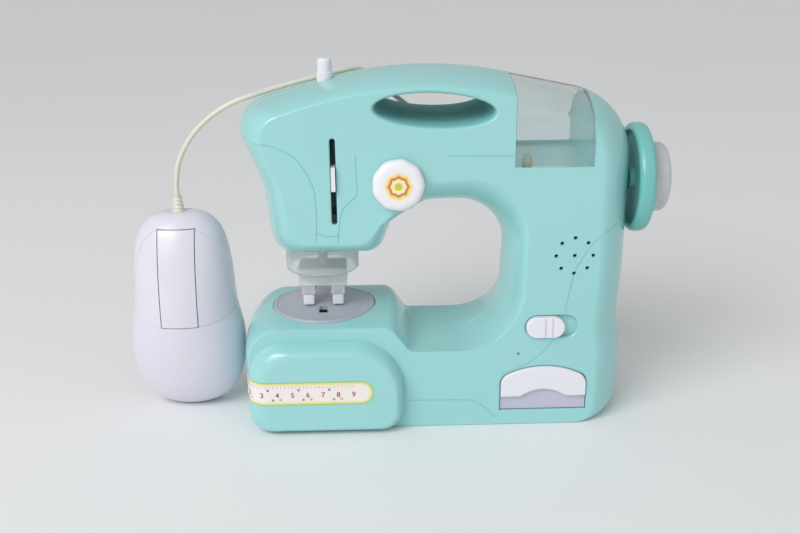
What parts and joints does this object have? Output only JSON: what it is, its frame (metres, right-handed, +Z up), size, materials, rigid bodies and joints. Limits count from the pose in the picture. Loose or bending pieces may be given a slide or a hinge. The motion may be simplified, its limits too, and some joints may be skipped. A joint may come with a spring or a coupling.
{
  "type": "toy sewing machine",
  "caption": "Toy sewing machine with a turquoise housing, carry handle, clear light window, reciprocating needle foot, hand wheel, dial, switch, pull-out drawer and a corded foot pedal.",
  "frame": {"origin": "on the flat underside, in the middle of the base's width and at the parting line of the two housing halves", "axes": "+X towards the hand wheel, -Y towards the front with the dial and switch, +Z up"},
  "size_m": [0.312, 0.1425, 0.2065],
  "materials": {
    "teal_shell": "glossy turquoise moulding",
    "deep_teal": "glossy darker turquoise moulding",
    "clear_plastic": "clear styrene",
    "frosted_plastic": "frosted translucent styrene",
    "white_plastic": "glossy white moulding",
    "nylon": "natural nylon",
    "steel": "bright drawn steel",
    "brass": "cut brass",
    "motor_can": "rolled steel can",
    "black_plastic": "matt black moulding",
    "board": "green solder mask",
    "cell_jacket": "plain dark jacket",
    "lamp_lens": "warm clear lens",
    "rubber_pad": "soft grey rubber",
    "lead_jacket": "off-white flexible jacket"
  },
  "bodies": {
    "machine": {"front_shell": "teal_shell", "rear_shell": "teal_shell", "window_cover": "clear_plastic", "light_chamber": "teal_shell", "lamp": "lamp_lens", "needle_plate": "frosted_plastic", "needle_guard": "clear_plastic", "spool_pin": "white_plastic", "speaker": "black_plastic", "circuit_board": "board", "battery_box": "teal_shell", "battery_cells": "cell_jacket", "battery_door": "teal_shell", "door_screw": "steel", "motor": "motor_can", "housing_screws": "steel", "switch_body": "black_plastic", "cord_gland": "lead_jacket", "pedal_base": "white_plastic", "pedal_top": "white_plastic", "pedal_pads": "rubber_pad", "pedal_switch": "black_plastic", "key_pin": "steel", "strain_relief": "lead_jacket", "pedal_cord": "lead_jacket"},
    "drive": {"main_shaft": "steel", "main_gear": "nylon", "crank_disc": "nylon", "hand_wheel": "deep_teal", "wheel_knob": "white_plastic"},
    "pinion": {"motor_shaft": "steel", "motor_pinion": "brass"},
    "needle_body": {"needle_bar": "white_plastic", "needle_yoke": "white_plastic", "take_up_arm": "white_plastic", "needle_foot": "clear_plastic", "foot_toes": "white_plastic", "needle": "steel"},
    "dial_body": {"dial": "white_plastic", "dial_pin": "white_plastic"},
    "switch_body_slide": {"switch_button": "white_plastic"},
    "drawer_body": {"drawer": "white_plastic"},
    "key_body": {"pedal_key": "white_plastic"}
  },
  "joints": [
    {"name": "wheel_spin", "type": "hinge", "parent": "machine", "child": "drive", "pos_m": [0, 0, 0.137], "axis": [1, 0, 0], "continuous": true},
    {"name": "pinion_spin", "type": "hinge", "parent": "machine", "child": "pinion", "pos_m": [0, 0, 0.12425], "axis": [1, 0, 0], "continuous": true},
    {"name": "needle_slide", "type": "slide", "parent": "machine", "child": "needle_body", "axis": [0, 0, 1], "range_m": [0, 0.012]},
    {"name": "dial_turn", "type": "hinge", "parent": "machine", "child": "dial_body", "pos_m": [-0.0205, -0.036, 0.1444], "axis": [0, 1, 0], "continuous": true},
    {"name": "switch_slide", "type": "slide", "parent": "machine", "child": "switch_body_slide", "axis": [1, 0, 0], "range_m": [0, 0.007]},
    {"name": "drawer_slide", "type": "slide", "parent": "machine", "child": "drawer_body", "axis": [0, -1, 0], "range_m": [0, 0.038]},
    {"name": "key_press", "type": "hinge", "parent": "machine", "child": "key_body", "pos_m": [-0.146, -0.013, 0.06], "axis": [-1, 0, 0], "range_deg": [0, 3], "stiffness_Nm_per_rad": 1.5}
  ],
  "couplings": [
    {"joint": "pinion_spin", "follows": "wheel_spin", "ratio": -1.8}
  ]
}
